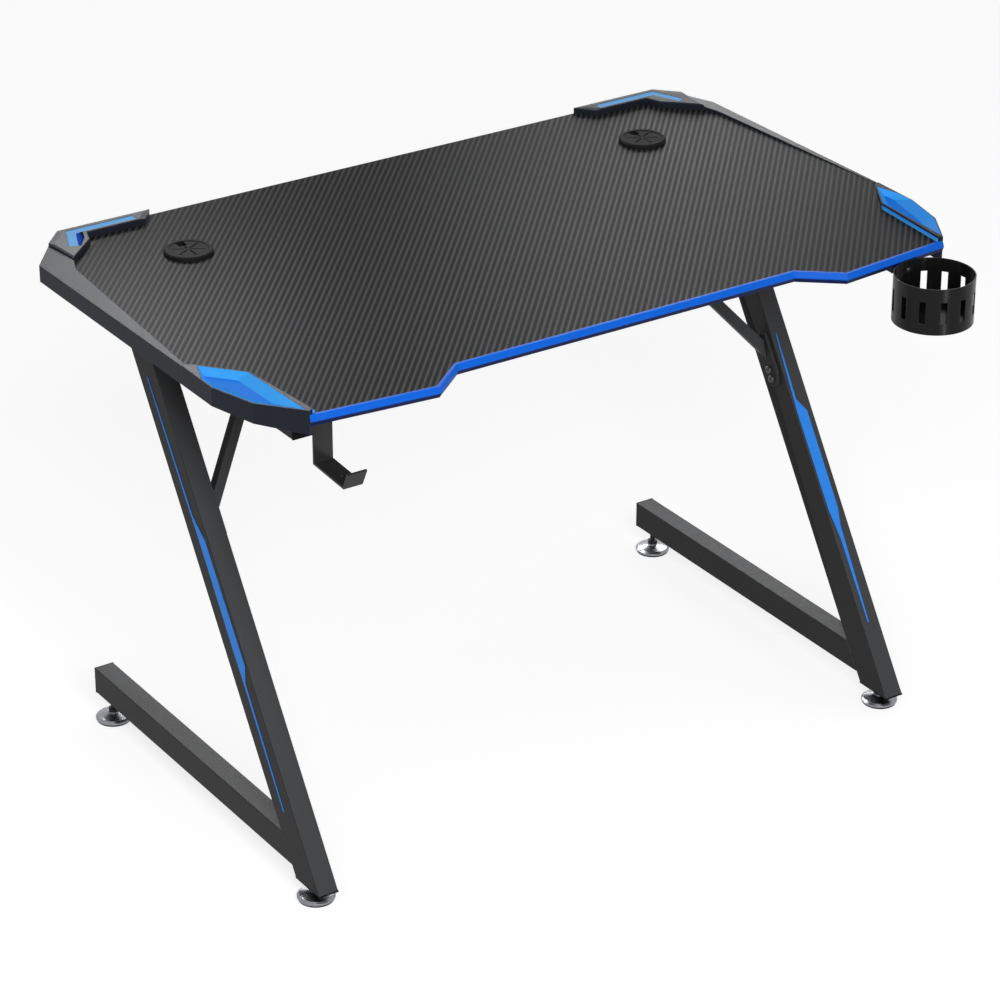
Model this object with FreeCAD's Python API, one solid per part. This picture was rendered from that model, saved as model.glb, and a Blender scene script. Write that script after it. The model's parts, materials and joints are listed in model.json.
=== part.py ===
import FreeCAD, Part
import math
import os

V = FreeCAD.Vector

# Desktop outline in plan, from the middle of the desktop (mm)
half_width = 559.0
back_edge = 347.0
front_edge = -344.0
waist_in = 44.5
waist_half_front = 321.5
waist_half_rear = 267.0
front_end_in = 60.0
front_end_back = 17.0
front_corner_in = 18.0
front_corner_back = 84.0
front_chamfer_back = 156.0
rear_corner_in = 63.0
rear_chamfer = 68.0

# Desktop heights and thicknesses
top_z = 737.0
skin_t = 1.0
board_t = 14.0
rail_h = 27.0
rail_ridge = 4.0
rail_fall_rear = 3.5
rail_fall_front = 1.0
lip_t = 3.0
lip_reach = 20.0
lip_lap = 2.0

# Edge bands
band_t = 4.0
band_nose = 3.0
rear_band_t = 2.0

# Side rails and corner trims, with their colour inserts
rail_w_rear = 28.0
rail_w_front = 5.0
rail_rear_back = 120.0
rail_front_y = 231.0
rear_trim_len = 142.0
rear_trim_w = 28.0
rear_side_in = 38.0
rear_side_back = 96.0
rear_bend_in = 86.0
rear_bend_back = 51.0
rear_arm_in = 94.0
rear_arm_slant = 22.0
rear_trim_h = 10.0
rear_trim_shoulder = 8.4
rear_seam_share = 0.476
rear_bevel_out = 10.0
rear_bevel_seam = 3.0
rear_bevel_in = 0.8
rear_bevel_end = 7.0
rear_strip_t = 3.0
rear_strip_out = 10.8
rear_strip_w = 13.0
rear_strip_start = 32.0
rear_strip_arm = 56.0
rear_strip_spread = 23.3
rear_strip_sink = 0.4
facet_start = 0.22
facet_bend = 0.56
facet_w = 10.0
facet_end_w = 3.5
facet_drop = 5.0
facet_seat = 7.0
front_ridge = 7.0
front_fall = 8.0
front_tip_in = 66.0
front_wall_in = 55.0
front_lead_in = 14.0
front_lead = 10.0
band_end = 2.0
tray_sink = 11.5
dish_depth = 8.0
tray_lead = 26.0
tray_rim = 1.6
dish_rim = 0.6
dish_side = 11.0
dish_slope = 17.0
dish_wall = 13.0
dish_bend = 9.0
dish_lead = 6.0
strip_w = 3.0
strip_h = 4.0

# Cable grommets
grommet_in = 185.0
grommet_back = 146.0
grommet_hole_r = 30.0
grommet_flange = 4.0
grommet_wall = 2.5
grommet_ledge = 3.0
grommet_h = 6.0
ring_bevel = 2.0
cap_t = 5.0
cap_sink = 0.8
cap_slit = 2.2
cap_slit_in = 3.0
cap_slit_out = 1.5
cap_slit_depth = 2.4
cap_slits = 6
notch_w = 12.0
notch_depth = 14.5

# Legs of rectangular tube
leg_inset = 98.3
tube_w = 30.0
wall = 1.5
column_depth = 51.0
column_foot_y = -319.7
column_slope = 0.647
column_z0 = 24.0
top_beam_h = 45.0
top_beam_front = 77.0
top_beam_rear = 80.0
beam_bolt_front = 35.0
beam_bolt_mid = -20.0
beam_bolt_rear = 30.0
floor_beam_z0 = 37.0
floor_beam_h = 40.0
floor_beam_rear = 317.0
end_cap_t = 2.0
plug_len = 14.0
rear_plug_len = 7.0
stripe_t = 0.6

# Braces
brace_w = 16.0
brace_t = 12.0
brace_foot_z = 440.0
brace_root = 20.0
brace_reach_x = 215.0
brace_top_y = 165.0
tab_t = 4.0
tab_len = 66.0
tab_w = 34.0
tab_toe = 16.0
tab_screw_in = 46.0
tab_screw_gap = 18.0
tab_bolt_low = 22.0
tab_bolt_gap = 14.0

# Levelling feet
foot_front_in = 48.0
foot_rear_in = 22.0
pad_r = 26.0
pad_edge = 2.5
pad_bevel = 3.0
pad_h = 11.0
pad_neck = 1.0
pad_neck_h = 2.0
socket_floor = 3.0
rubber_rim = 1.5
rubber_t = 3.0
stud_r = 4.0
stud_reach = 26.0
collar_af = 14.0
collar_h = 5.0
nut_af = 16.0
nut_h = 8.0

# Cup holder on the right
cup_r = 55.5
cup_h = 66.0
cup_wall = 1.5
cup_drop = 8.0
cup_flat = 1.0
cup_setback = 5.0
cup_in = 128.0
cup_slots = 12
slot_turn = 5.0
slot_w = 9.0
slot_h = 32.0
slot_low = 15.0
bracket_w = 44.0
bracket_t = 2.5
bracket_len = 70.0
cup_screw_in = 26.0
cup_screw_gap = 24.0
rivet_end = 14.0
rivet_head = 1.5
rivet_head_r = 3.5

# Headphone hook on the left
hook_w = 28.0
hook_t = 3.0
hook_clear = 2.7
hook_setback = 80.0
hook_tab = 66.0
hook_h = 87.0
hook_shelf = 69.0
hook_drop = 4.5
hook_lip_y = 11.0
hook_lip_z = 22.0
hook_screw_in = 12.0
hook_screw_gap = 28.0
hook_hole_in = 44.0

# Fasteners and clearances
screw_r = 2.0
screw_head_r = 4.5
screw_head_h = 2.5
bolt_r = 3.0
bolt_head_r = 6.0
bolt_head_h = 3.5
bolt_past = 8.0
board_bite = 9.0
tip_gap = 1.0
hole_gap = 0.3
turn_gap = 0.05
plug_gap = 0.2
rivet_gap = 0.2
bar_gap = 0.5

# Reach of cutting tools past the part
past = 1.0
over = 20.0
far = 2000.0

# Levels and lines that follow
skin_z = top_z - skin_t
board_z = skin_z - board_t
rail_z = top_z - rail_h
lip_z = board_z - lip_t
beam_z0 = board_z - top_beam_h
floor_z1 = floor_beam_z0 + floor_beam_h
leg_x0 = half_width - leg_inset
leg_x1 = leg_x0 + tube_w
beam_mid = leg_x0 + tube_w / 2
flange_y = front_edge + cup_setback
cup_x = half_width - cup_in
cup_y = flange_y - cup_r + cup_flat
tip_z = board_z + board_bite - tip_gap

# Middle of the whole footprint: the origin of the part
y_mid = -(back_edge + cup_y - cup_r) / 2


# Shape helpers
def prism(points, z0, z1):
    wire = Part.makePolygon([V(x, y, z0) for x, y in points + points[:1]])
    return Part.Face(wire).extrude(V(0, 0, z1 - z0))


def prism_x(points, x0, x1):
    wire = Part.makePolygon([V(x0, y, z) for y, z in points + points[:1]])
    return Part.Face(wire).extrude(V(x1 - x0, 0, 0))


def frustum(low, z0, high, z1):
    wires = [Part.makePolygon([V(x, y, z) for x, y in p + p[:1]]) for p, z in ((low, z0), (high, z1))]
    return Part.makeLoft(wires, True, True)


def level(a, b, c):
    # Height of the plane through three points, over the plan
    n = (b - a).cross(c - a)
    return lambda x, y: a.z - (n.x * (x - a.x) + n.y * (y - a.y)) / n.z


def sloped(points, height, rise):
    # Outline lifted to a sloping level
    wire = [V(x, y, height(x, y) + rise) for x, y in points]
    return Part.makePolygon(wire + wire[:1])


def under(points, z0, height):
    # Prism from a flat foot up to a sloping level
    ground = Part.Face(sloped(points, lambda x, y: z0, 0))
    slab = [(-far, -far), (far, -far), (far, far), (-far, far)]
    above = Part.Face(sloped(slab, height, 0)).extrude(V(0, 0, far))
    return ground.extrude(V(0, 0, top_z + over - z0)).cut(above)


def block(x0, x1, y0, y1, z0, z1):
    return Part.makeBox(x1 - x0, y1 - y0, z1 - z0, V(x0, y0, z0))


def rod(x, y, z0, z1, r):
    return Part.makeCylinder(r, z1 - z0, V(x, y, z0))


def pin(start, direction, length, r):
    return Part.makeCylinder(r, length, start, direction)


def hexagon(x, y, z0, z1, across_flats):
    r = across_flats / 2 / math.cos(math.pi / 6)
    corners = [(x + r * math.cos(a * math.pi / 3), y + r * math.sin(a * math.pi / 3)) for a in range(6)]
    return prism(corners, z0, z1)


def turned(profile):
    wire = Part.makePolygon([V(r, 0, z) for r, z in profile + profile[:1]])
    return Part.Face(wire).revolve(V(0, 0, 0), V(0, 0, 1), 360)


def around(shape, count, first):
    return [shape.rotated(V(0, 0, 0), V(0, 0, 1), first + 360.0 * i / count) for i in range(count)]


def fuse(first, *others):
    return first.multiFuse(list(others)).removeSplitter()


def drilled(shape, points, r, z0, z1):
    return shape.cut(Part.makeCompound([rod(x, y, z0, z1, r) for x, y in points]))


def mirrored(shape):
    return shape.mirror(V(0, 0, 0), V(1, 0, 0))


def both(shapes):
    return shapes + [mirrored(s) for s in shapes]


def save(name, *shapes):
    moved = [s.translated(V(0, y_mid, 0)) for s in shapes]
    shape = moved[0] if len(moved) == 1 else Part.makeCompound(moved)
    shape.exportStep("parts/" + name + ".step")


def save_pair(name, shape):
    save(name + "_right", shape)
    save(name + "_left", mirrored(shape))


# Plan helpers
def cross(a, b, c, d):
    # Meeting point of line a-b with line c-d
    ux, uy = b[0] - a[0], b[1] - a[1]
    wx, wy = d[0] - c[0], d[1] - c[1]
    t = ((c[0] - a[0]) * wy - (c[1] - a[1]) * wx) / (ux * wy - uy * wx)
    return (a[0] + t * ux, a[1] + t * uy)


def shifted(a, b, d):
    # Line a-b moved d to its left
    n = math.hypot(b[0] - a[0], b[1] - a[1])
    ox, oy = -(b[1] - a[1]) * d / n, (b[0] - a[0]) * d / n
    return (a[0] + ox, a[1] + oy), (b[0] + ox, b[1] + oy)


def beside(a, b, share, d):
    # Point at a share of line a-b, moved d to its left
    p, q = shifted(a, b, d)
    return (p[0] + (q[0] - p[0]) * share, p[1] + (q[1] - p[1]) * share)


def inset(points, distances):
    # Closed outline with each side moved inwards by its own distance
    area = sum(p[0] * q[1] - q[0] * p[1] for p, q in zip(points, points[1:] + points[:1]))
    sign = 1 if area > 0 else -1
    sides = [shifted(p, q, sign * d) for p, q, d in zip(points, points[1:] + points[:1], distances)]
    return [cross(*sides[i - 1], *sides[i]) for i in range(len(points))]


def offset(points, d):
    # Open line moved d to its left
    sides = [shifted(p, q, d) for p, q in zip(points, points[1:])]
    middle = [cross(*a, *b) for a, b in zip(sides, sides[1:])]
    return [sides[0][0]] + middle + [sides[-1][1]]


def flip(points):
    return [(-x, y) for x, y in reversed(points)]


def on_both_sides(points):
    return points + [(-x, y) for x, y in points]


os.makedirs("parts", exist_ok=True)

# Plan outlines of the right half
rear_corner = (half_width - rear_corner_in, back_edge)
side_rear = (half_width, back_edge - rear_chamfer)
rear_seam = beside(rear_corner, side_rear, rear_seam_share, 0)
trim_end = (rear_corner[0] - rear_trim_len, back_edge)
trim_front_y = back_edge - rear_trim_w
rear_inner = [(half_width - rear_side_in, back_edge - rear_side_back),
              (half_width - rear_bend_in, back_edge - rear_bend_back),
              (half_width - rear_arm_in, trim_front_y), (trim_end[0] + rear_arm_slant, trim_front_y)]
rail_front = front_edge + rail_front_y
rail_inner = [(half_width - rail_w_rear, back_edge - rail_rear_back),
              (half_width - rail_w_front, rail_front)]
chamfer_y = front_edge + front_chamfer_back
front_inner = [(half_width - front_lead_in, rail_front - front_lead),
               (half_width - front_wall_in, chamfer_y)]
front_end = (half_width - front_end_in, front_edge + front_end_back)
front_line = [front_end, (waist_half_front, front_edge), (waist_half_rear, front_edge + waist_in)]
front_line = front_line + flip(front_line)
board_front = offset(front_line, -band_t)
tip_x = half_width - front_tip_in
front_tip = cross((tip_x, 0.0), (tip_x, 1.0), *board_front[:2])
rear_line_y = back_edge - rear_band_t
board_rear = cross(rear_inner[-1], trim_end, (0, rear_line_y), (1, rear_line_y))
rear_trim_line = [trim_end, rear_corner, rear_seam] + rear_inner
rail_line = [rear_seam, side_rear, (half_width, rail_front), rail_inner[1], rail_inner[0], rear_inner[0]]
front_trim_line = [(half_width, rail_front), (half_width, chamfer_y),
                   (half_width - front_corner_in, front_edge + front_corner_back), front_end, front_tip,
                   front_inner[1], front_inner[0], rail_inner[1]]
board_sides = [board_rear] + rear_inner[::-1] + rail_inner + front_inner[:1]
half_board = board_sides + [front_inner[1], front_tip] + board_front[1:3]
board_line = half_board + flip(half_board)
strip_line = shifted(front_inner[1], front_tip, -strip_w)
strip_rear = cross(*strip_line, *front_inner)
strip_tip = cross(*strip_line, *board_front[:2])
half_skin = board_sides + [strip_rear, strip_tip] + board_front[1:3]
skin_line = half_skin + flip(half_skin)

# Under-lips of the trims: edge of the board, share of it that is covered, shares of the screws
rail_lip = (*rail_inner, 0.03, 0.97, (0.17, 0.57, 0.88))
rear_lip = (rear_inner[3], rear_inner[2], 0.07, 0.95, (0.25, 0.76))
front_lip = (front_inner[1], front_tip, 0.65, 0.93, (0.79,))


def lip_screws(a, b, start, end, shares):
    return [beside(a, b, share, -lip_reach / 2) for share in shares]


def lip(a, b, start, end, shares):
    corners = [beside(a, b, start, lip_lap), beside(a, b, end, lip_lap),
               beside(a, b, end, -lip_reach), beside(a, b, start, -lip_reach)]
    holes = lip_screws(a, b, start, end, shares)
    return drilled(prism(corners, lip_z, board_z), holes, screw_r + hole_gap, lip_z - past, board_z + past)


# Fixing positions on the right half
beam_front = front_edge + top_beam_front
beam_rear = back_edge - top_beam_rear
beam_bolt_rows = (beam_front + beam_bolt_front, beam_bolt_mid, beam_rear - beam_bolt_rear)
beam_bolts = [(beam_mid, y) for y in beam_bolt_rows]
trim_screws = [p for edge in (rail_lip, rear_lip, front_lip) for p in lip_screws(*edge)]
brace_top = V(leg_x0 - brace_reach_x, brace_top_y, board_z)
brace_screws = [(brace_top.x - tab_screw_in, brace_top_y + side * tab_screw_gap / 2) for side in (-1, 1)]
bracket_rear = flange_y + bracket_len
cup_screws = [(cup_x + side * cup_screw_gap / 2, bracket_rear - cup_screw_in) for side in (-1, 1)]
hook_x = hook_clear + hook_w / 2 - leg_x0
hook_y = front_edge + hook_setback
hook_screws = [(hook_x, hook_y + hook_tab - hook_screw_in - i * hook_screw_gap) for i in (0, 1)]


def screw(x, y, seat_z):
    return fuse(rod(x, y, seat_z - screw_head_h, seat_z, screw_head_r), rod(x, y, seat_z, tip_z, screw_r))


def bolt(x, y, seat_z):
    return fuse(rod(x, y, seat_z - bolt_head_h, seat_z, bolt_head_r), rod(x, y, seat_z, tip_z, bolt_r))


# Board and carbon-look skin
grommet_x = half_width - grommet_in
grommet_y = back_edge - grommet_back
grommets = on_both_sides([(grommet_x, grommet_y)])
small_holes = on_both_sides(trim_screws + brace_screws) + cup_screws + hook_screws
board = drilled(prism(board_line, board_z, skin_z), grommets, grommet_hole_r, board_z - past, top_z)
board = drilled(board, small_holes, screw_r + hole_gap, board_z - past, board_z + board_bite)
board = drilled(board, on_both_sides(beam_bolts), bolt_r + hole_gap, board_z - past, board_z + board_bite)
save("top_board", board)
flange_r = grommet_hole_r + grommet_flange
skin = prism(skin_line, skin_z, top_z)
save("top_skin", drilled(skin, grommets, flange_r + hole_gap, board_z, top_z + past))

# Front edge band with a nosed section, and the plain rear band
nose_line = offset(front_line, band_nose)
back_line = board_front[::-1]
band_mid_z = (board_z + top_z) / 2
band = fuse(frustum(front_line + back_line, board_z, nose_line + back_line, band_mid_z),
            frustum(nose_line + back_line, band_mid_z, front_line + back_line, top_z))
end_cut = prism([front_end, front_tip, (tip_x, 0), (far, 0), (far, -far), (front_end[0] + band_end, -far)],
                board_z - past, top_z + past)
save("front_band", band.cut(end_cut).cut(mirrored(end_cut)))
rear_band = [trim_end, board_rear]
save("rear_band", prism(rear_band + flip(rear_band), board_z, top_z))

# Side rails that slope outwards from a ridge, with an under-lip
rail_top = level(V(*side_rear, top_z - rail_fall_rear), V(half_width, rail_front, top_z - rail_fall_front),
                 V(*rail_inner[0], top_z + rail_ridge))
save_pair("rail", fuse(under(rail_line, rail_z, rail_top), lip(*rail_lip)))

# Rear corner trims with a colour strip let into the crown
rear_crown_z = top_z + rear_trim_h
rear_shoulder_z = top_z + rear_trim_shoulder
rear_bevels = [rear_bevel_out] * 2 + [rear_bevel_seam] + [rear_bevel_in] * 3 + [rear_bevel_end]
crown = inset(rear_trim_line, rear_bevels)
strip_end = (rear_corner[0] + rear_strip_spread, back_edge - rear_strip_arm)
strip_path = [(trim_end[0] + rear_strip_start, back_edge), rear_corner, strip_end]
strip_in = rear_strip_out + rear_strip_w
rear_strip = offset(strip_path, -rear_strip_out) + offset(strip_path, -strip_in)[::-1]
strip_seat_z = rear_crown_z - rear_strip_t
strip_z = rear_crown_z - rear_strip_sink
rear_trim = fuse(prism(rear_trim_line, rail_z, rear_shoulder_z),
                 frustum(rear_trim_line, rear_shoulder_z, crown, rear_crown_z), lip(*rear_lip))
rear_trim = rear_trim.cut(prism(rear_strip, strip_seat_z, rear_crown_z + past))
strip = prism(rear_strip, strip_seat_z, strip_z)
save("trim_rear_right", rear_trim)
save("insert_rear_right", strip)

# The left strip has a sloping facet beside its short arm
facet_rim = [(facet_start, 0), (1.0, 0), (1.0, facet_end_w), (facet_bend, facet_w), (facet_start, facet_w)]
facet_line = [beside(rear_corner, strip_end, share, -strip_in - reach) for share, reach in facet_rim]
facet_foot = rear_crown_z - facet_seat
facet_top = level(V(*facet_line[0], strip_z), V(*facet_line[1], strip_z),
                  V(*facet_line[3], strip_z - facet_drop))
facet = under(facet_line, facet_foot, facet_top)
save("trim_rear_left", mirrored(rear_trim.cut(prism(facet_line, facet_foot, rear_crown_z + past))))
save("insert_rear_left", mirrored(fuse(strip, facet)))

# Front corner trims with a dished colour insert, and a strip at the foot of their inner wall
front_top = level(V(*front_inner[1], top_z + front_ridge), V(*front_tip, top_z + front_ridge),
                  V(half_width, chamfer_y, top_z + front_ridge - front_fall))
tray = [(half_width, chamfer_y + tray_lead)] + front_trim_line[1:4] + front_trim_line[5:7]
tray = inset(tray, [tray_rim] * len(tray))
tray_z = top_z - tray_sink
dish_top = inset(tray, [dish_rim] * len(tray))
dish_low = inset(tray, [dish_side, dish_slope, dish_slope, dish_wall, dish_bend, dish_lead])
front_trim = fuse(under(front_trim_line, rail_z, front_top), lip(*front_lip))
save_pair("trim_front", front_trim.cut(prism(tray, tray_z, top_z + over)))
dish = Part.makeLoft([sloped(dish_low, front_top, -dish_depth), sloped(dish_top, front_top, 0)], True, True)
inner_strip = prism([front_tip, front_inner[1], strip_rear, strip_tip], skin_z, top_z + strip_h)
save_pair("insert_front", Part.makeCompound([under(tray, tray_z, front_top).cut(dish), inner_strip]))

# Cable grommets: fixed ring and a cap that turns in it
neck_r = grommet_hole_r - hole_gap
bore_r = grommet_hole_r - grommet_wall
ledge_r = bore_r - grommet_ledge
ring_z = top_z + grommet_h
cap_z = ring_z - cap_t
cap_top = ring_z - cap_sink
ring = turned([(ledge_r, board_z), (neck_r, board_z), (neck_r, skin_z), (flange_r, skin_z),
               (flange_r, ring_z - ring_bevel), (flange_r - ring_bevel, ring_z), (bore_r, ring_z),
               (bore_r, cap_z), (ledge_r, cap_z)])
slit_z = cap_top - cap_slit_depth
slit = block(cap_slit_in, ledge_r - cap_slit_out, -cap_slit / 2, cap_slit / 2, slit_z, ring_z)
notch = block(-notch_w / 2, notch_w / 2, bore_r - notch_depth, bore_r + past, cap_z - past, ring_z)
cap = rod(0, 0, cap_z, cap_top, bore_r - turn_gap)
cap = cap.cut(Part.makeCompound(around(slit, cap_slits, 180.0 / cap_slits))).cut(notch)
for name, x in (("right", grommet_x), ("left", -grommet_x)):
    save("grommet_ring_" + name, ring.translated(V(x, grommet_y, 0)))
    save("grommet_cap_" + name, cap.translated(V(x, grommet_y, 0)))

# Leg tubes: sloping column, top beam under the board, floor beam to the rear
slant = math.hypot(1, column_slope)
column_run = column_depth * slant
wall_run = wall * slant


def column_y(z, across=0.0):
    return column_foot_y + column_slope * z + across * column_run


def slanted(z0, z1, side):
    return [(column_y(z0) + side, z0), (column_y(z0, 1) - side, z0),
            (column_y(z1, 1) - side, z1), (column_y(z1) + side, z1)]


column_bore = prism_x(slanted(column_z0 - past, beam_z0 + past, wall_run), leg_x0 + wall, leg_x1 - wall)
column = prism_x(slanted(column_z0, beam_z0, 0), leg_x0, leg_x1).cut(column_bore)
along = V(0, column_slope / slant, 1 / slant)
across = V(0, along.z, -along.y)
inwards = V(-1, 0, 0)
brace_foot = V(leg_x0, column_y(brace_foot_z, 0.5), brace_foot_z)
foot_bolts = [brace_foot - along * (tab_bolt_low - i * tab_bolt_gap) for i in (0, 1)]
bolt_hole_r = bolt_r + hole_gap
bolt_grip = wall + tab_t
tab_holes = Part.makeCompound([pin(p - inwards * (wall + past), inwards, bolt_grip + past * 2, bolt_hole_r)
                               for p in foot_bolts])
save_pair("leg_column", column.cut(tab_holes))

top_beam = block(leg_x0, leg_x1, beam_front, beam_rear, beam_z0, board_z)
top_beam = top_beam.cut(block(leg_x0 + wall, leg_x1 - wall, -far, far, beam_z0 + wall, board_z - wall))
save_pair("leg_top_beam", drilled(top_beam, beam_bolts, bolt_hole_r, beam_z0 - past, board_z + past))

foot_rear_y = floor_beam_rear - foot_rear_in
floor_beam = prism_x([(column_y(floor_beam_z0, 1), floor_beam_z0), (floor_beam_rear, floor_beam_z0),
                      (floor_beam_rear, floor_z1), (column_y(floor_z1, 1), floor_z1)], leg_x0, leg_x1)
floor_bore_z = floor_beam_z0 + wall
floor_beam = floor_beam.cut(block(leg_x0 + wall, leg_x1 - wall, -far, far, floor_bore_z, floor_z1 - wall))
floor_beam = drilled(floor_beam, [(beam_mid, foot_rear_y)], stud_r + hole_gap, 0, floor_bore_z + past)
save_pair("leg_floor_beam", floor_beam)


# End plugs of the tubes
def plug(y_end, length, z0, z1):
    # Cover plate outside the tube's end, tongue inside it
    out = math.copysign(1, y_end)
    gap = wall + plug_gap
    cover = sorted((y_end, y_end + out * end_cap_t))
    tongue = sorted((y_end, y_end - out * length))
    return fuse(block(leg_x0, leg_x1, *cover, z0, z1),
                block(leg_x0 + gap, leg_x1 - gap, *tongue, z0 + gap, z1 - gap))


save("top_beam_plugs", *both([plug(y, plug_len, beam_z0, board_z) for y in (beam_front, beam_rear)]))
save("floor_beam_plugs", *both([plug(floor_beam_rear, rear_plug_len, floor_beam_z0, floor_z1)]))
foot_front_y = column_foot_y + foot_front_in
plug_side = wall + plug_gap
foot_plug = fuse(prism_x(slanted(column_z0 - end_cap_t, column_z0, 0), leg_x0, leg_x1),
                 prism_x(slanted(column_z0, column_z0 + plug_len, plug_side * slant),
                         leg_x0 + plug_side, leg_x1 - plug_side))
front_hole = [(beam_mid, foot_front_y)]
foot_plug = drilled(foot_plug, front_hole, stud_r + turn_gap, 0, column_z0 + plug_len + past)
save("column_foot_plugs", *both([foot_plug]))

# Colour stripes: on the outer side of the left column, on the front of the right column
# Each outline is in shares of the face's width and of the column's height
side_stripe = [(0.47, 0.908), (0.55, 0.662), (0.83, 0.625), (0.88, 0.404), (0.60, 0.365), (0.53, 0.133),
               (0.49, 0.133), (0.51, 0.365), (0.49, 0.423), (0.50, 0.622), (0.48, 0.662), (0.43, 0.908)]
front_stripe = [(0.33, 0.708), (0.27, 0.579), (0.68, 0.554), (0.69, 0.365), (0.52, 0.331), (0.40, 0.144),
                (0.34, 0.144), (0.30, 0.309), (0.13, 0.365), (0.11, 0.554), (0.14, 0.582), (0.28, 0.708)]


def column_level(share):
    return column_z0 + share * (beam_z0 - column_z0)


side_points = [(column_y(column_level(v), 1 - u), column_level(v)) for u, v in side_stripe]
save("stripe_left", prism_x(side_points, -leg_x1 - stripe_t, -leg_x1))
front_points = [V(leg_x0 + u * tube_w, column_y(column_level(v)), column_level(v)) for u, v in front_stripe]
front_face = Part.Face(Part.makePolygon(front_points + front_points[:1]))
save("stripe_right", front_face.extrude(across * -stripe_t))

# Diagonal braces with a flat tab at each end
bar_foot = brace_foot + along * brace_root
axis = brace_top - bar_foot
side = axis.cross(V(0, 1, 0)).normalize()
depth = axis.cross(side).normalize()
overrun = V(axis).normalize() * tab_len
corners = [bar_foot - overrun + side * (brace_w / 2 * a) + depth * (brace_t / 2 * b)
           for a, b in ((-1, -1), (1, -1), (1, 1), (-1, 1), (-1, -1))]
bar = Part.Face(Part.makePolygon(corners)).extrude(axis + overrun * 2)
bar = bar.common(block(0, leg_x0 - bar_gap, -far, far, 0, board_z - bar_gap))
tab_face = [brace_foot + along * (tab_len * a) + across * (tab_w * b) for a, b in
            ((-0.5, -0.25), (-0.5, 0.25), (-0.25, 0.5), (0.66, 0.5), (0.66, -0.5), (-0.25, -0.5))]
tab_low = Part.Face(Part.makePolygon(tab_face + tab_face[:1])).extrude(inwards * tab_t)
tab_high = block(brace_top.x - tab_len, brace_top.x + tab_toe,
                 brace_top_y - tab_w / 2, brace_top_y + tab_w / 2, board_z - tab_t, board_z)
tab_high = drilled(tab_high, brace_screws, screw_r + hole_gap, lip_z - tab_t, board_z + past)
save_pair("brace", fuse(bar, tab_low, tab_high).cut(tab_holes))
brace_bolts = [fuse(pin(p + inwards * tab_t, inwards, bolt_head_h, bolt_head_r),
                    pin(p + inwards * tab_t, -inwards, bolt_grip + bolt_past, bolt_r)) for p in foot_bolts]
save("brace_bolts", *both(brace_bolts))

# Screws up into the board
save("beam_bolts", *both([bolt(x, y, beam_z0) for x, y in beam_bolts]))
save("lip_screws", *both([screw(x, y, lip_z) for x, y in trim_screws]))
save("brace_screws", *both([screw(x, y, board_z - tab_t) for x, y in brace_screws]))
save("cup_screws", *[screw(x, y, board_z - bracket_t) for x, y in cup_screws])
save("hook_screws", *[screw(x, y, board_z - hook_t) for x, y in hook_screws])

# Cup holder: slotted sheet cup on a bent bracket
cup_rim_z = top_z - cup_drop
cup_z0 = cup_rim_z - cup_h
inner_r = cup_r - cup_wall
cup = rod(0, 0, cup_z0, cup_rim_z, cup_r).cut(rod(0, 0, cup_z0 + cup_wall, cup_rim_z + past, inner_r))
slot_z = cup_z0 + slot_low
slot = block(inner_r / 2, cup_r + past, -slot_w / 2, slot_w / 2, slot_z, slot_z + slot_h)
cup = cup.cut(Part.makeCompound(around(slot, cup_slots, slot_turn))).translated(V(cup_x, cup_y, 0))
cup = cup.cut(block(-far, far, flange_y, far, 0, far))
rivets = [V(cup_x, flange_y, cup_z0 + rivet_end), V(cup_x, flange_y, cup_rim_z - rivet_end)]
rearwards = V(0, 1, 0)
rivet_hole_r = screw_r + hole_gap
rivet_holes = Part.makeCompound([pin(p - rearwards * cup_r / 2, rearwards, cup_r, rivet_hole_r)
                                 for p in rivets])
save("cup_basket", cup.cut(rivet_holes))
bracket_x0 = cup_x - bracket_w / 2
bracket_x1 = cup_x + bracket_w / 2
bracket = fuse(block(bracket_x0, bracket_x1, flange_y, flange_y + bracket_t, cup_z0, board_z),
               block(bracket_x0, bracket_x1, flange_y, bracket_rear, board_z - bracket_t, board_z))
bracket = drilled(bracket, cup_screws, screw_r + hole_gap, lip_z - bracket_t, board_z + past)
save("cup_bracket", bracket.cut(rivet_holes))
rivet_in = cup_wall - cup_flat + rivet_gap
rivet_parts = [fuse(pin(p - rearwards * rivet_in, rearwards, rivet_in + bracket_t, screw_r),
                    pin(p + rearwards * bracket_t, rearwards, rivet_head, rivet_head_r),
                    pin(p - rearwards * rivet_in, -rearwards, rivet_head, rivet_head_r)) for p in rivets]
save("cup_rivets", *rivet_parts)

# Headphone hook: one bent strip
shelf_z = board_z - hook_h
shelf_front = (hook_y - hook_shelf, shelf_z - hook_drop)
hook_line = [(hook_y + hook_tab, board_z), (hook_y, board_z), (hook_y, shelf_z), shelf_front,
             (shelf_front[0] - hook_lip_y, shelf_front[1] + hook_lip_z)]
hook = prism_x(hook_line + offset(hook_line, hook_t)[::-1], hook_x - hook_w / 2, hook_x + hook_w / 2)
hook = drilled(hook, hook_screws, screw_r + hole_gap, lip_z - hook_t, board_z + past)
hook = drilled(hook, [(hook_x, hook_y - hook_hole_in)], screw_r + hole_gap, 0, shelf_z + hook_t)
save("headphone_hook", hook)

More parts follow.
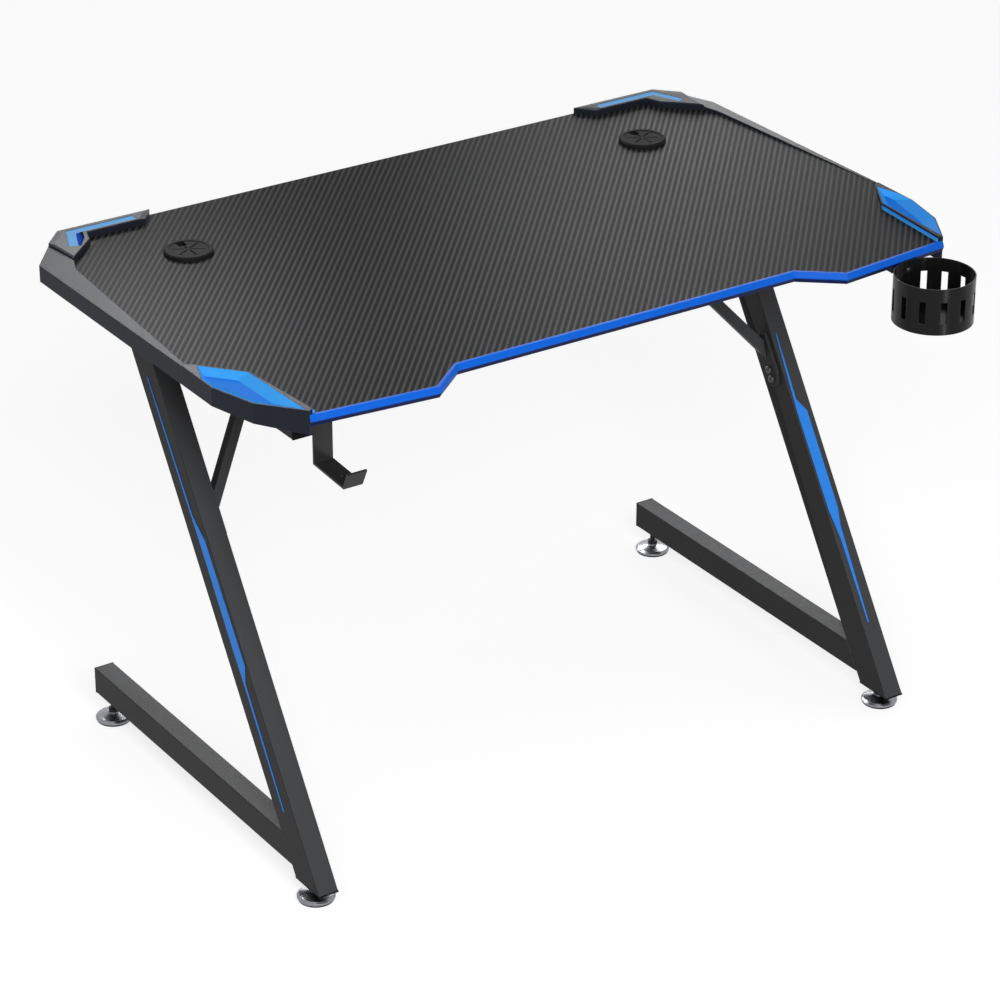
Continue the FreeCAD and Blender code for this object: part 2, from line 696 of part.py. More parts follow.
# Levelling feet: pad on a rubber sole, stud with a hexagon collar
socket_z = rubber_t + socket_floor
pad_top = rubber_t + pad_h
collar_z = pad_top + collar_h
neck = collar_af / 2 + pad_neck
hole_r = stud_r + turn_gap
pad = turned([(0, rubber_t), (pad_r, rubber_t), (pad_r, rubber_t + pad_edge),
              (pad_r - pad_bevel, rubber_t + pad_edge * 2), (neck, pad_top - pad_neck_h), (neck, pad_top),
              (hole_r, pad_top), (hole_r, socket_z), (0, socket_z)])
sole = rod(0, 0, 0, rubber_t, pad_r - rubber_rim)
for end, y, seat_z in (("front", foot_front_y, column_z0), ("rear", foot_rear_y, floor_beam_z0)):
    collar = hexagon(0, 0, pad_top, collar_z, collar_af)
    stud = fuse(rod(0, 0, socket_z, seat_z + stud_reach, stud_r), collar)
    for name, shape in (("pad", pad), ("sole", sole), ("stud", stud)):
        save_pair("foot_" + name + "_" + end, shape.translated(V(beam_mid, y, 0)))
nut = hexagon(beam_mid, foot_rear_y, floor_bore_z, floor_bore_z + nut_h, nut_af)
save("foot_nuts", *both([drilled(nut, [(beam_mid, foot_rear_y)], hole_r, 0, floor_bore_z + nut_h + past)]))
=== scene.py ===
import json
import math
import bmesh
import bpy
from mathutils import Matrix, Vector


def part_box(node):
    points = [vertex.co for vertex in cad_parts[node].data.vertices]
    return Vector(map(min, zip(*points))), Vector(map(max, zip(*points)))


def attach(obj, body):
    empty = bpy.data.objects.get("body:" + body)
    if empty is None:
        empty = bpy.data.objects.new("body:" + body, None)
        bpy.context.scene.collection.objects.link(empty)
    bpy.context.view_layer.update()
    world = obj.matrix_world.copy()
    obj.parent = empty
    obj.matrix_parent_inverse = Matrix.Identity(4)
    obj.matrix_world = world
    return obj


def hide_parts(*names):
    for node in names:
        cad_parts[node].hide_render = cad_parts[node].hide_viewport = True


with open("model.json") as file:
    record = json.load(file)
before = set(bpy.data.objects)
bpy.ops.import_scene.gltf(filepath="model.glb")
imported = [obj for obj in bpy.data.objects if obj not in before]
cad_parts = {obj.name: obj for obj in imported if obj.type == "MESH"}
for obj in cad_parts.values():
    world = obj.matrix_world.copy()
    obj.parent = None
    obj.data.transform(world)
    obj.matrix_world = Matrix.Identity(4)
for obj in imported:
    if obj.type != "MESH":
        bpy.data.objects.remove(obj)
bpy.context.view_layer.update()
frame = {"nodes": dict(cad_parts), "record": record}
nodes = frame["nodes"]


# Finishes: a small wrap for shader sums, and one for a finish
bevel_samples = 6
corner_gain = 6


class Val:
    """A value that changes over a surface. Sums on it add Math nodes to its finish."""

    def __init__(self, finish, socket):
        self.finish = finish
        self.socket = socket

    def __add__(self, other):
        return self.finish.sum("ADD", self, other)

    def __radd__(self, other):
        return self.finish.sum("ADD", other, self)

    def __sub__(self, other):
        return self.finish.sum("SUBTRACT", self, other)

    def __rsub__(self, other):
        return self.finish.sum("SUBTRACT", other, self)

    def __mul__(self, other):
        return self.finish.sum("MULTIPLY", self, other)

    def __rmul__(self, other):
        return self.finish.sum("MULTIPLY", other, self)

    def __truediv__(self, other):
        return self.finish.sum("DIVIDE", self, other)

    def __mod__(self, other):
        return self.finish.sum("FLOORED_MODULO", self, other)

    def __pow__(self, other):
        return self.finish.sum("POWER", self, other)

    def __lt__(self, other):
        return self.finish.sum("LESS_THAN", self, other)

    def __gt__(self, other):
        return self.finish.sum("GREATER_THAN", self, other)

    def floor(self):
        return self.finish.sum("FLOOR", self)

    def sine(self):
        return self.finish.sum("SINE", self)

    def clamp(self):
        return self.finish.add("Clamp", {}, {"Value": self})


class Tree:
    """A node tree that is filled node by node."""

    def __init__(self, tree, family):
        self.tree = tree
        self.family = family

    def add(self, kind, settings=None, sockets=None, out=0):
        node = self.tree.nodes.new(kind if "Node" in kind else self.family + kind)
        for key, value in (settings or {}).items():
            setattr(node, key, value)
        for key, value in (sockets or {}).items():
            self.put(node.inputs[key], value)
        return Val(self, node.outputs[out])

    def put(self, socket, value):
        if isinstance(value, Val):
            self.tree.links.new(value.socket, socket)
        elif socket.type == "RGBA":
            socket.default_value = (*value[:3], 1)
        else:
            socket.default_value = value


class Finish(Tree):
    """One material of the desk, with its nodes."""

    def __init__(self, name):
        self.material = bpy.data.materials.new(name)
        self.material.use_nodes = True
        super().__init__(self.material.node_tree, "ShaderNode")
        self.tree.nodes.clear()
        self.place = self.add("TexCoord", out="Object")

    def sum(self, operation, *values):
        return self.add("Math", {"operation": operation}, dict(enumerate(values)))

    def mix(self, share, first, second):
        return self.add("Mix", {"data_type": "RGBA"}, {0: share, 6: first, 7: second}, out=2)

    def noise(self, scale, detail=2.0, vector=None):
        sockets = {"Vector": vector or self.place, "Scale": scale, "Detail": detail}
        return self.add("TexNoise", {}, sockets)

    def cells(self, scale, out="Distance"):
        return self.add("TexVoronoi", {}, {"Vector": self.place, "Scale": scale}, out=out)

    def stretched(self, scale):
        return self.add("Mapping", {}, {"Vector": self.place, "Scale": scale})

    def axis(self, name):
        """Place along X, Y or Z, in metres."""
        return self.add("SeparateXYZ", {}, {"Vector": self.place}, out=name)

    def facing(self, name):
        """Part along X, Y or Z of the flat face's normal."""
        flat = self.add("NewGeometry", out="True Normal")
        return self.add("SeparateXYZ", {}, {"Vector": flat}, out=name)

    def soft(self, radius):
        """Normal with its corners rounded."""
        return self.add("Bevel", {"samples": bevel_samples}, {"Radius": radius})

    def corner(self, radius):
        """Normal with its corners rounded, and a mask of those corners."""
        soft = self.soft(radius)
        flat = self.add("NewGeometry", out="Normal")
        along = self.add("VectorMath", {"operation": "DOT_PRODUCT"}, {0: soft, 1: flat}, out="Value")
        return soft, ((1 - along) * corner_gain).clamp()

    def bump(self, height, depth, normal=None):
        sockets = {"Height": height, "Distance": depth, "Strength": 1.0}
        if normal:
            sockets["Normal"] = normal
        return self.add("Bump", {}, sockets)

    def shade(self, **values):
        shader = self.tree.nodes.new("ShaderNodeBsdfPrincipled")
        for key, value in values.items():
            self.put(shader.inputs[key.replace("_", " ")], value)
        out = self.tree.nodes.new("ShaderNodeOutputMaterial")
        self.tree.links.new(shader.outputs[0], out.inputs["Surface"])
        return self.material


def srgb(*levels):
    """Linear colour from levels of 0 to 255."""
    shares = [level / 255 for level in levels]
    return tuple(c / 12.92 if c <= 0.04045 else ((c + 0.055) / 1.055) ** 2.4 for c in shares)


# Places in metres, and slopes, at which a finish changes, among them where painted light and shade
# begin
tow_across, tow_deep = 0.00262, 0.003
band_shade_split, band_blend = 0.7285, 0.001
rear_inserts_from = 0.1
level_lean, slope_shading_gain = 0.02, 16
# Lean of the leg faces that get the painted shade
painted_shade_facing = 0.7


def carbon_weave():
    """Twill of tows that go over two and under two."""
    f = Finish("carbon_weave")
    u, v = f.axis("X") / tow_across, f.axis("Y") / tow_deep
    warp, weft = u.floor(), v.floor()
    over = ((warp - weft) % 4) < 2
    along_warp = ((v - warp + 1) % 4) / 2
    along_weft = ((u - weft) % 4) / 2 - 1
    across = over * (u - warp) + (1 - over) * (v - weft)
    along = (over * along_warp + (1 - over) * along_weft).clamp()
    crown = (across * math.pi).sine() * ((along * math.pi).sine() ** 0.9)
    warp_threads = f.noise(1.0, 2.0, f.stretched((2600, 260, 1)))
    weft_threads = f.noise(1.0, 2.0, f.stretched((260, 2600, 1)))
    threads = warp_threads * over + weft_threads * (1 - over)
    cloud = f.noise(3.2, 3.0)
    shade = f.mix((crown * 0.75 + threads * 0.3).clamp(), srgb(6, 6, 7), srgb(26, 26, 27))
    pale = f.mix((crown * 0.85 + threads * 0.3).clamp(), srgb(13, 13, 14), srgb(84, 85, 87))
    colour = f.mix(over, shade, pale)
    colour = f.mix((cloud - 0.35) * 0.4, colour, srgb(40, 41, 43))
    return f.shade(Base_Color=colour, Roughness=0.26 + (1 - over) * 0.10 + cloud * 0.06,
                   Normal=f.bump(crown + threads * 0.15, 0.00016), Specular_IOR_Level=0.012)


def chip_board():
    f = Finish("chip_board")
    soft = f.soft(0.0008)
    chips = f.cells(260, "Color")
    grain = f.noise(900, 3.0, f.stretched((1, 0.25, 1)))
    tone = f.add("SeparateColor", {}, {"Color": chips})
    colour = f.mix(tone, srgb(50, 44, 38), srgb(112, 98, 84))
    colour = f.mix(grain * 0.5, colour, srgb(40, 36, 32))
    return f.shade(Base_Color=colour, Roughness=0.75 - tone * 0.15,
                   Normal=f.bump(tone + grain, 0.0003, soft))


def edge_blue():
    """Band that is blue above and navy below, the navy being painted shade where the lower edge turns
    away from the light.
    """
    f = Finish("edge_blue")
    soft, edge = f.corner(0.0012)
    # Painted shade: below this height the band is coloured navy in place of the shade on its lower edge
    low = (band_shade_split - f.axis("Z")) / band_blend
    streak = f.noise(60, 3.0, f.stretched((1, 1, 12)))
    bright = f.mix(streak, srgb(8, 92, 210), srgb(16, 108, 228))
    painted_shade_navy = f.mix(streak, srgb(8, 18, 62), srgb(14, 30, 88))
    colour = f.mix(low.clamp(), bright, painted_shade_navy)
    colour = f.mix(edge * 0.25, colour, srgb(90, 150, 240))
    return f.shade(Base_Color=colour, Roughness=0.36 + streak * 0.12, Specular_IOR_Level=0.08,
                   Normal=f.bump(f.noise(1400, 2.0), 0.00006, soft))


def moulded_charcoal():
    f = Finish("moulded_charcoal")
    soft, edge = f.corner(0.0015)
    grain = f.cells(1300)
    cloud = f.noise(9, 3.0)
    colour = f.mix(cloud, srgb(27, 30, 38), srgb(39, 43, 53))
    colour = f.mix(edge * (0.25 + 0.5 * f.noise(120, 3.0)), colour, srgb(72, 78, 90))
    return f.shade(Base_Color=colour, Roughness=0.36 + grain * 0.15 + cloud * 0.06,
                   Specular_IOR_Level=0.08, Normal=f.bump(grain, 0.0001, soft))


def moulded_blue():
    """Dishes at the front and strips at the rear, with painted light and shade on their sloping faces:
    lighter on the dishes, darker on the strips.
    """
    f = Finish("moulded_blue")
    soft, edge = f.corner(0.0012)
    cloud = f.noise(14, 3.0)
    # Painted light and shade by how far a face leans from level, as light falls on the sloping faces
    lean = 1 - f.facing("Z")
    slope_light_and_shade = ((lean - level_lean) * slope_shading_gain).clamp()
    rear = f.axis("Y") > rear_inserts_from
    # Painted light: the dishes' sloping faces are coloured lighter, as they face the light
    dish = f.mix(slope_light_and_shade, f.mix(cloud, srgb(22, 122, 232), srgb(36, 136, 246)),
                 f.mix(cloud, srgb(52, 162, 248), srgb(78, 180, 255)))
    # Painted shade: the strips' sloping facet is coloured darker, as it faces away from the light
    strip = f.mix(slope_light_and_shade, f.mix(cloud, srgb(106, 182, 252), srgb(136, 200, 255)),
                  f.mix(cloud, srgb(16, 62, 170), srgb(30, 84, 200)))
    colour = f.mix(rear, dish, strip)
    colour = f.mix(edge * 0.35, colour, srgb(120, 186, 250))
    return f.shade(Base_Color=colour, Roughness=0.42 + cloud * 0.12, Specular_IOR_Level=0.006,
                   Normal=f.bump(f.noise(1500, 2.0), 0.00005, soft))


def grained_black():
    f = Finish("grained_black")
    soft, edge = f.corner(0.0008)
    grain = f.cells(1700)
    cloud = f.noise(30, 3.0)
    colour = f.mix(cloud, srgb(24, 24, 25), srgb(36, 36, 37))
    colour = f.mix(edge * 0.4, colour, srgb(74, 74, 76))
    return f.shade(Base_Color=colour, Roughness=0.46 + grain * 0.2, Specular_IOR_Level=0.02,
                   Normal=f.bump(grain, 0.00012, soft))


def powder_coat():
    """Leg paint, darker on the faces to the left and right, where shade is painted into the colour."""
    f = Finish("powder_coat")
    soft, edge = f.corner(0.0008)
    peel = f.noise(650, 3.0)
    cloud = f.noise(5, 3.0)
    speck = f.cells(2300) < 0.16
    # Painted shade: faces to the left and right take a darker paint, standing for the shade they are in
    side = f.sum("ABSOLUTE", f.facing("X")) > painted_shade_facing
    colour = f.mix(side, f.mix(cloud, srgb(62, 63, 65), srgb(76, 77, 79)),
                   f.mix(cloud, srgb(40, 40, 41), srgb(50, 50, 51)))
    colour = f.mix(speck * 0.35, colour, srgb(104, 107, 110))
    colour = f.mix(edge * (0.2 + 0.4 * f.noise(80, 4.0)), colour, srgb(114, 116, 120))
    return f.shade(Base_Color=colour, Roughness=0.38 + peel * 0.16, Specular_IOR_Level=0.07,
                   Normal=f.bump(peel, 0.00025, soft))


def blue_film():
    f = Finish("blue_film")
    soft, edge = f.corner(0.0005)
    streak = f.noise(40, 3.0, f.stretched((1, 1, 6)))
    colour = f.mix(streak, srgb(44, 138, 250), srgb(62, 154, 255))
    colour = f.mix(edge * 0.3, colour, srgb(10, 40, 100))
    return f.shade(Base_Color=colour, Roughness=0.36 + streak * 0.1, Specular_IOR_Level=0.1,
                   Normal=f.bump(f.noise(1800, 2.0), 0.00004, soft))


def gloss_black():
    """Paint of the cup holder, and of the hook on the left, which has painted light: its black is
    coloured lighter for the light on it.
    """
    f = Finish("gloss_black")
    soft, edge = f.corner(0.0008)
    cloud = f.noise(24, 3.0)
    scuff = f.noise(1.0, 4.0, f.stretched((500, 500, 40)))
    # Painted light: the hook has the same black paint as the cup holder, coloured lighter as it is lit
    hook = f.axis("X") < 0
    colour = f.mix(hook, f.mix(cloud, srgb(12, 12, 13), srgb(21, 21, 22)),
                   f.mix(cloud, srgb(38, 38, 39), srgb(50, 50, 51)))
    colour = f.mix(edge * 0.3, colour, srgb(70, 70, 72))
    return f.shade(Base_Color=colour, Roughness=0.16 + scuff * 0.12, Specular_IOR_Level=0.14,
                   Normal=f.bump(f.noise(420, 2.0), 0.00006, soft))


def black_steel():
    f = Finish("blackened_steel")
    soft, edge = f.corner(0.0005)
    cloud = f.noise(180, 3.0)
    colour = f.mix(cloud, srgb(52, 52, 54), srgb(86, 86, 88))
    colour = f.mix(edge * 0.6, colour, srgb(150, 150, 152))
    return f.shade(Base_Color=colour, Metallic=0.8, Roughness=0.32 + cloud * 0.18,
                   Normal=f.bump(cloud, 0.00008, soft))


def stud_oxide():
    f = Finish("stud_oxide")
    soft, edge = f.corner(0.0004)
    cloud = f.noise(240, 3.0)
    colour = f.mix(cloud, srgb(30, 30, 32), srgb(52, 52, 54))
    colour = f.mix(edge * 0.5, colour, srgb(110, 110, 112))
    return f.shade(Base_Color=colour, Metallic=0.7, Roughness=0.36 + cloud * 0.14,
                   Normal=f.bump(cloud, 0.00006, soft))


def bright_plate():
    f = Finish("bright_plate")
    soft = f.soft(0.0006)
    haze = f.noise(60, 3.0)
    turned = f.noise(1.0, 2.0, f.stretched((60, 60, 2600)))
    colour = f.mix(haze, srgb(116, 118, 122), srgb(150, 152, 156))
    return f.shade(Base_Color=colour, Metallic=1.0, Roughness=0.2 + haze * 0.1 + turned * 0.06,
                   Normal=f.bump(turned, 0.000003, soft))


def foot_rubber():
    f = Finish("foot_rubber")
    soft, edge = f.corner(0.0006)
    grain = f.noise(900, 3.0)
    colour = f.mix(grain, srgb(18, 18, 18), srgb(34, 34, 34))
    colour = f.mix(edge * 0.4, colour, srgb(64, 63, 62))
    return f.shade(Base_Color=colour, Roughness=0.7 + grain * 0.2,
                   Normal=f.bump(grain, 0.00015, soft))


finishes = {
    "board_core": chip_board(),
    "carbon_skin": carbon_weave(),
    "blue_band": edge_blue(),
    "dark_trim": moulded_charcoal(),
    "blue_insert": moulded_blue(),
    "black_plastic": grained_black(),
    "leg_paint": powder_coat(),
    "blue_stripe": blue_film(),
    "black_gloss": gloss_black(),
    "dark_steel": black_steel(),
    "chrome": bright_plate(),
    "rubber": foot_rubber(),
    "black_steel": stud_oxide(),
}
slots = {part["node"]: part["material_slot"] for part in frame["record"]["subparts"]}
for node, name in slots.items():
    for slot in nodes[node].material_slots:
        slot.material = finishes[name]


# Fixings: one shape of each kind, set in every seat by Geometry Nodes
mm = 0.001
weld = 1e-6
cross_arm = 0.26
turn_seed = 7


def round_rim(angle):
    return 1.0


def hex_rim(angle):
    return math.cos(math.pi / 6) / math.cos(angle % (math.pi / 3) - math.pi / 6)


def cross_rim(angle):
    return max(cross_arm / max(abs(turn), cross_arm) for turn in (math.sin(angle), math.cos(angle)))


def lathe(rings, sides=24):
    """Closed shape from rings of (radius in mm, height in mm, rim), from the first end to the last."""
    shape = bmesh.new()
    turns = [2 * math.pi * i / sides for i in range(sides)]
    loops = []
    for radius, height, rim in rings:
        places = [(radius * rim(t) * math.cos(t), radius * rim(t) * math.sin(t), height) for t in turns]
        loops.append([shape.verts.new(Vector(place) * mm) for place in places])
    for first, second in zip(loops, loops[1:]):
        for i in range(sides):
            j = (i + 1) % sides
            shape.faces.new((first[i], second[i], second[j], first[j]))
    shape.faces.new(loops[0])
    shape.faces.new(loops[-1][::-1])
    bmesh.ops.recalc_face_normals(shape, faces=shape.faces)
    return shape


def linked(name, data):
    piece = bpy.data.objects.new(name, data)
    bpy.context.scene.collection.objects.link(piece)
    return piece


def dropped(piece):
    mesh = piece.data
    bpy.data.objects.remove(piece)
    bpy.data.meshes.remove(mesh)


def made(name, shape, bend=40):
    """Object of a shape, smooth apart from edges that bend by more degrees than given."""
    mesh = bpy.data.meshes.new(name)
    shape.to_mesh(mesh)
    shape.free()
    mesh.shade_smooth()
    mesh.set_sharp_from_angle(angle=math.radians(bend))
    return linked(name, mesh)


def screw_rings(length):
    r, x = round_rim, cross_rim
    return [(0.9, -1.7, x), (2.3, 0, x), (3.0, 0, r), (3.9, -0.5, r), (4.4, -1.3, r), (4.5, -2.0, r),
            (4.5, -2.5, r), (2.0, -2.5, r), (2.0, 2.0 - length, r), (0.4, -length, r)]


def bolt_rings(length):
    r, x = round_rim, hex_rim
    return [(2.3, -2.0, x), (2.4, 0, x), (3.4, 0, r), (4.9, -0.6, r), (5.8, -1.8, r), (6.0, -2.8, r),
            (6.0, -3.5, r), (3.0, -3.5, r), (3.0, 0.8 - length, r), (2.3, -length, r)]


def rivet_rings(length):
    dome = [(0.7, 0), (1.9, -0.2), (2.9, -0.7), (3.5, -1.3), (3.5, -1.5), (2.0, -1.5)]
    far = [(radius, -length - z) for radius, z in dome[::-1]]
    return [(radius, z, round_rim) for radius, z in dome + far]


def solids(node):
    """Corners of each loose solid of a node."""
    shape = bmesh.new()
    shape.from_mesh(nodes[node].data)
    bmesh.ops.remove_doubles(shape, verts=shape.verts, dist=weld)
    left = set(shape.verts)
    found = []
    while left:
        queue = [left.pop()]
        group = []
        while queue:
            corner = queue.pop()
            group.append(corner.co.copy())
            near = {e.other_vert(corner) for e in corner.link_edges} & left
            left -= near
            queue += near
        found.append(group)
    shape.free()
    return found


def seats(node, axis):
    """Outer end of each fixing's head, and the way that it faces, in the order of their places."""
    found = []
    for group in solids(node):
        low = Vector([min(c[i] for c in group) for i in range(3)])
        high = Vector([max(c[i] for c in group) for i in range(3)])
        middle = (low + high) / 2
        reach = {end: max((c - middle).length for c in group if abs(c[axis] - end) < 10 * weld)
                 for end in (low[axis], high[axis])}
        head = max(reach, key=reach.get)
        place = middle.copy()
        place[axis] = head
        aim = Vector((0, 0, 0))
        aim[axis] = 1.0 if head > middle[axis] else -1.0
        found.append((place, aim))
    return sorted(found, key=lambda seat: [round(part, 4) for part in seat[0]])


def sockets(group, *rows):
    """New sockets of a group, from (way, name, kind). Returns the keys of its inputs by name."""
    for way, name, kind in rows:
        group.interface.new_socket(name=name, in_out=way, socket_type="NodeSocket" + kind)
    return {row.name: row.identifier for row in group.interface.items_tree if row.in_out == "INPUT"}


def fixing_rows():
    group = bpy.data.node_groups.new("fixing_rows", "GeometryNodeTree")
    names = sockets(group, ("INPUT", "Seats", "Geometry"), ("INPUT", "Fixing", "Object"),
                    ("INPUT", "Finish", "Material"), ("INPUT", "Turn Seed", "Int"),
                    ("OUTPUT", "Fixings", "Geometry"))
    t = Tree(group, "GeometryNode")
    given = {s.name: Val(t, s) for s in group.nodes.new("NodeGroupInput").outputs}
    shape = t.add("ObjectInfo", {}, {"Object": given["Fixing"]}, out="Geometry")
    aim = t.add("InputNamedAttribute", {"data_type": "FLOAT_VECTOR"}, {"Name": "aim"})
    facing = t.add("FunctionNodeAlignRotationToVector", {}, {"Vector": aim})
    angle = t.add("FunctionNodeRandomValue", {},
                  {2: 0.0, 3: 2 * math.pi, "Seed": given["Turn Seed"]}, out=1)
    turn = t.add("FunctionNodeAxisAngleToRotation", {}, {"Axis": (0, 0, 1), "Angle": angle})
    facing = t.add("FunctionNodeRotateRotation", {"rotation_space": "LOCAL"}, {0: facing, 1: turn})
    row = t.add("InstanceOnPoints", {},
                {"Points": given["Seats"], "Instance": shape, "Rotation": facing})
    row = t.add("RealizeInstances", {}, {"Geometry": row})
    row = t.add("SetMaterial", {}, {"Geometry": row, "Material": given["Finish"]})
    t.put(group.nodes.new("NodeGroupOutput").inputs[0], row)
    return group, names


def grown(base, name, group, values):
    """The piece that a Geometry Nodes tree makes from a base object, which is then removed."""
    grow = base.modifiers.new(group.name, "NODES")
    grow.node_group = group
    for key, value in values.items():
        grow[key] = value
    bpy.context.view_layer.update()
    mesh = bpy.data.meshes.new_from_object(base.evaluated_get(bpy.context.evaluated_depsgraph_get()))
    mesh.name = name
    dropped(base)
    return linked(name, mesh)


def set_fixings(group, names, node, axis, rings):
    places = seats(node, axis)
    mesh = bpy.data.meshes.new(node + "_seats")
    mesh.from_pydata([place for place, aim in places], [], [])
    aims = mesh.attributes.new("aim", "FLOAT_VECTOR", "POINT")
    aims.data.foreach_set("vector", [part for place, aim in places for part in aim])
    fixing = made(node + "_shape", lathe(rings))
    piece = grown(linked(node + "_seats", mesh), node + "_set", group,
                  {names["Fixing"]: fixing, names["Finish"]: finishes["dark_steel"],
                   names["Turn Seed"]: turn_seed})
    dropped(fixing)
    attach(piece, "desk")
    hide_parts(node)


# Node, axis that its fixings lie along, and rings for their length in mm
fixings = (
    ("lip_screws", 2, screw_rings(13.5)),
    ("brace_screws", 2, screw_rings(14.5)),
    ("cup_screws", 2, screw_rings(13.0)),
    ("hook_screws", 2, screw_rings(13.5)),
    ("beam_bolts", 2, bolt_rings(56.5)),
    ("brace_bolts", 0, bolt_rings(17.0)),
    ("cup_rivets", 1, rivet_rings(6.2)),
)
fixing_group, fixing_names = fixing_rows()
for node, axis, rings in fixings:
    set_fixings(fixing_group, fixing_names, node, axis, rings)


# Leg tubes with the rounded long corners of drawn tube
tube_corner, corner_steps = 0.0014, 3
flat_bend, tube_bend = 0.5, 20
outward_turn = 1.0
lengthwise = 0.999
column_run = Vector((0, 0.647, 1)).normalized()
beam_run = Vector((0, 1, 0))


def drawn_tube(node, axis):
    """Copy of a tube with the outward edges along its axis rounded."""
    shape = bmesh.new()
    shape.from_mesh(nodes[node].data)
    bmesh.ops.remove_doubles(shape, verts=shape.verts, dist=weld)
    bmesh.ops.dissolve_limit(shape, angle_limit=math.radians(flat_bend), verts=shape.verts,
                             edges=shape.edges)
    corners = []
    for edge in shape.edges:
        run = (edge.verts[1].co - edge.verts[0].co).normalized()
        outward = len(edge.link_faces) == 2 and edge.calc_face_angle_signed() > outward_turn
        if outward and abs(run.dot(axis)) > lengthwise:
            corners.append(edge)
    bmesh.ops.bevel(shape, geom=corners, offset=tube_corner, segments=corner_steps, profile=0.5,
                    affect="EDGES")
    bmesh.ops.triangulate(shape, faces=shape.faces, ngon_method="EAR_CLIP")
    bmesh.ops.dissolve_degenerate(shape, dist=weld, edges=shape.edges)
    piece = made("drawn_" + node, shape, tube_bend)
    piece.data.materials.append(finishes[slots[node]])
    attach(piece, "desk")
    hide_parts(node)


for side in ("left", "right"):
    drawn_tube("leg_column_" + side, column_run)
    for beam in ("leg_top_beam_", "leg_floor_beam_"):
        drawn_tube(beam + side, beam_run)


# Levelling studs: core and hexagon collar, with a thread wound on by Geometry Nodes
thread_pitch = 0.00125
thread_radius, ridge_radius = 0.0036, 0.00036
thread_steps, ridge_sides = 20, 6
# Radii and heights in mm
stud_shank, stud_neck, stud_tip, stud_end = 4.0, 3.45, 2.8, 3.6
collar_wide, collar_narrow = 8.05, 7.2
collar_low, collar_high, collar_chamfer = 14.0, 19.0, 0.5
end_chamfer, tip_chamfer = 0.4, 1.0
thread_low, thread_short = 19.6, 1.6


def stud_thread():
    group = bpy.data.node_groups.new("stud_thread", "GeometryNodeTree")
    names = sockets(group, ("INPUT", "Core", "Geometry"), ("INPUT", "Turns", "Float"),
                    ("INPUT", "Length", "Float"), ("INPUT", "Start", "Vector"),
                    ("INPUT", "Finish", "Material"), ("OUTPUT", "Stud", "Geometry"))
    t = Tree(group, "GeometryNode")
    given = {s.name: Val(t, s) for s in group.nodes.new("NodeGroupInput").outputs}
    wind = t.add("CurveSpiral", {}, {
        "Resolution": thread_steps, "Rotations": given["Turns"], "Start Radius": thread_radius,
        "End Radius": thread_radius, "Height": given["Length"]})
    wind = t.add("SetCurveNormal", {"mode": "Z_UP"}, {"Curve": wind})
    ridge = t.add("CurvePrimitiveCircle", {}, {"Resolution": ridge_sides, "Radius": ridge_radius})
    wind = t.add("CurveToMesh", {}, {"Curve": wind, "Profile Curve": ridge, "Fill Caps": True})
    wind = t.add("Transform", {}, {"Geometry": wind, "Translation": given["Start"]})
    join = group.nodes.new("GeometryNodeJoinGeometry")
    for part in (wind, given["Core"]):
        t.put(join.inputs[0], part)
    both = t.add("RealizeInstances", {}, {"Geometry": Val(t, join.outputs[0])})
    both = t.add("SetMaterial", {}, {"Geometry": both, "Material": given["Finish"]})
    t.put(group.nodes.new("NodeGroupOutput").inputs[0], both)
    return group, names


def stud_core(foot, top):
    """Rings of a stud from its end in the pad to its top, heights in mm."""
    shank = [(stud_end, foot), (stud_shank, foot + end_chamfer), (stud_shank, collar_low)]
    collar = [(collar_narrow, collar_low), (collar_wide, collar_low + collar_chamfer),
              (collar_wide, collar_high - collar_chamfer), (collar_narrow, collar_high)]
    neck = [(stud_neck, collar_high), (stud_neck, top - tip_chamfer), (stud_tip, top)]
    rows = ((shank, round_rim), (collar, hex_rim), (neck, round_rim))
    return [(radius, height, rim) for rings, rim in rows for radius, height in rings]


thread_group, thread_names = stud_thread()
for end in ("front", "rear"):
    for side in ("left", "right"):
        name = end + "_" + side
        low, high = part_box("foot_stud_" + name)
        x, y = (low[0] + high[0]) / 2, (low[1] + high[1]) / 2
        foot, top = low[2] / mm, high[2] / mm
        core = lathe(stud_core(foot, top))
        bmesh.ops.translate(core, verts=core.verts, vec=(x, y, 0))
        length = (top - thread_short - thread_low) * mm
        stud = grown(made("stud_core", core), "threaded_stud_" + name, thread_group,
                     {thread_names["Turns"]: length / thread_pitch,
                      thread_names["Length"]: length,
                      thread_names["Start"]: (x, y, thread_low * mm),
                      thread_names["Finish"]: finishes["black_steel"]})
        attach(stud, "stud_" + name)
        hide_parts("foot_stud_" + name)


# Studio: pale floor, white background, soft panels and the camera
paper_reach = 30
paper_tone, paper_glow = 0.45, 0.72
sky_fill = 0.45
seen_rays = ("Is Camera Ray", "Is Glossy Ray", "Is Transmission Ray")
camera_place = (-2.572903, -3.843468, 2.701807)
camera_yaw, camera_pitch = 0.583021, 0.467670
camera_focal = 3.7284188
camera_sensor = 36.0
camera_reach = 200


def studio_floor():
    sheet = bmesh.new()
    bmesh.ops.create_grid(sheet, x_segments=8, y_segments=8, size=paper_reach)
    mesh = bpy.data.meshes.new("studio_floor")
    sheet.to_mesh(mesh)
    sheet.free()
    floor = linked("studio_floor", mesh)
    f = Finish("studio_paper")
    camera, glossy, through = [f.add("LightPath", out=ray) for ray in seen_rays]
    glow = f.mix((camera + glossy + through).clamp(), (0, 0, 0), (paper_glow,) * 3)
    mesh.materials.append(f.shade(Base_Color=(paper_tone,) * 3, Roughness=0.9, Specular_IOR_Level=0.0,
                                  Emission_Color=glow, Emission_Strength=1.0))


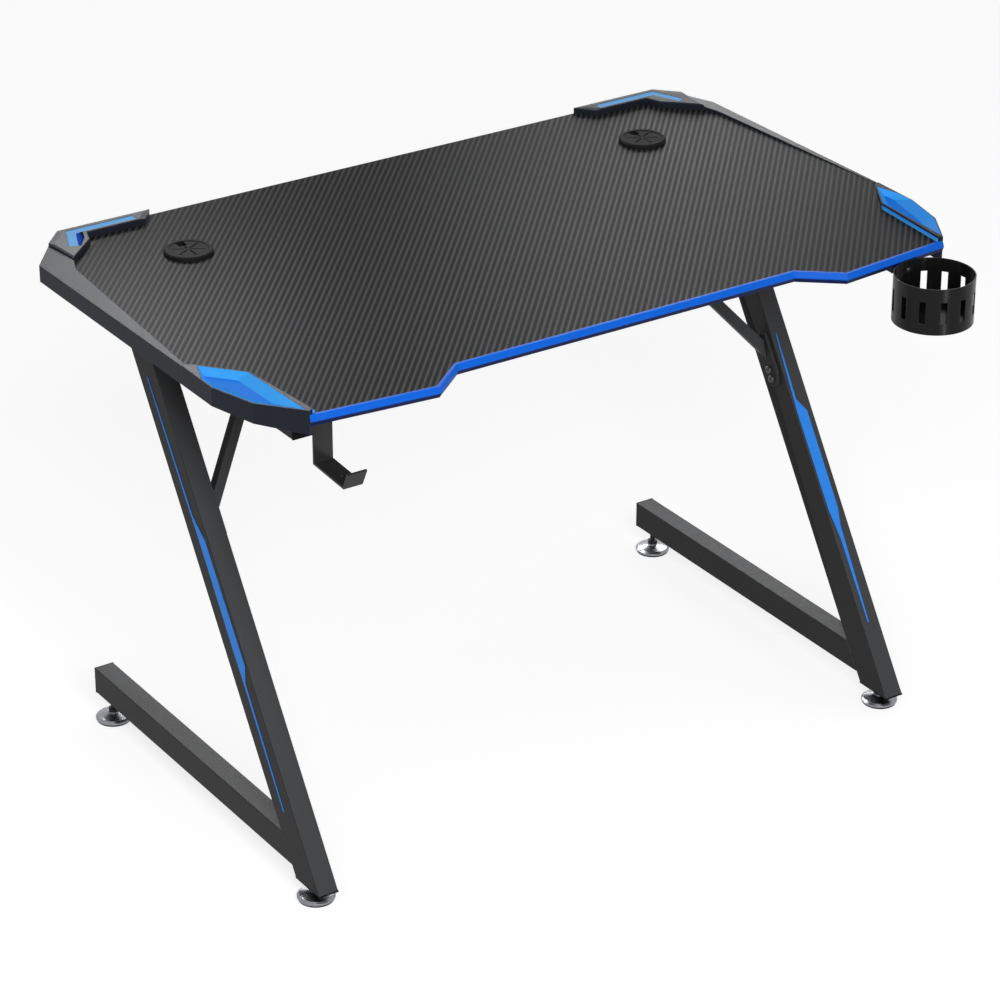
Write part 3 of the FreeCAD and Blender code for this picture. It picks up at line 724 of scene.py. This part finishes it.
def studio_world():
    """White where it is seen, and a weaker fill where it lights."""
    world = bpy.data.worlds.new("studio_air")
    bpy.context.scene.world = world
    world.use_nodes = True
    t = Tree(world.node_tree, "ShaderNode")
    t.tree.nodes.clear()
    fill, white = [t.add("Background", {}, {"Color": (1, 1, 1), "Strength": level})
                   for level in (sky_fill, 1.0)]
    camera, glossy, through = [t.add("LightPath", out=ray) for ray in seen_rays]
    seen = t.add("Math", {"operation": "MAXIMUM"}, {0: camera, 1: glossy})
    seen = t.add("Math", {"operation": "MAXIMUM"}, {0: seen, 1: through})
    sky = t.add("MixShader", {}, {0: seen, 1: fill, 2: white})
    t.put(t.tree.nodes.new("ShaderNodeOutputWorld").inputs["Surface"], sky)


def panel(name, place, aim, size, power, sheen=False):
    """Soft lamp. A sheen lamp shows in reflections and lights nothing else."""
    light = bpy.data.lights.new(name, "AREA")
    light.shape = "RECTANGLE"
    light.size, light.size_y = size
    light.energy = power
    lamp = linked(name, light)
    lamp.location = place
    lamp.rotation_euler = (Vector(aim) - Vector(place)).to_track_quat("-Z", "Y").to_euler()
    lamp.visible_camera = False
    lamp.visible_diffuse = not sheen


def photo_camera():
    """Camera of the photo. Its focal length is given in widths of the picture."""
    level = math.cos(camera_pitch)
    view = Vector((math.sin(camera_yaw) * level, math.cos(camera_yaw) * level, -math.sin(camera_pitch)))
    right = view.cross(Vector((0, 0, 1))).normalized()
    up = right.cross(view)
    data = bpy.data.cameras.new("photo_camera")
    data.sensor_width = camera_sensor
    data.lens = camera_focal * camera_sensor
    data.clip_end = camera_reach
    camera = linked("photo_camera", data)
    camera.matrix_world = Matrix((right, up, -view)).transposed().to_4x4()
    camera.location = camera_place
    bpy.context.scene.camera = camera


studio_floor()
studio_world()
panel("rear_left_panel", (-0.12, 1.22, 1.55), (-0.5, 0.05, 0.74), (0.6, 0.4), 28, sheen=True)
panel("rear_right_panel", (1.4, 1.28, 1.16), (0.5, 0.1, 0.74), (0.42, 0.42), 3.5, sheen=True)
panel("front_panel", (-1.5, -3.2, 2.6), (0, -0.1, 0.45), (2.0, 1.6), 92)
panel("rear_middle_panel", (0.98, 1.3, 1.36), (0.15, -0.1, 0.74), (0.36, 0.36), 4, sheen=True)
panel("low_rear_panel", (0.6, 1.0, 0.56), (0.0, 0.05, 0.06), (1.5, 0.3), 9, sheen=True)
panel("cup_panel", (0.32, -1.36, 0.2), (0.43, -0.34, 0.69), (0.12, 0.5), 1.4, sheen=True)
photo_camera()
bpy.context.scene.view_settings.view_transform = "Standard"
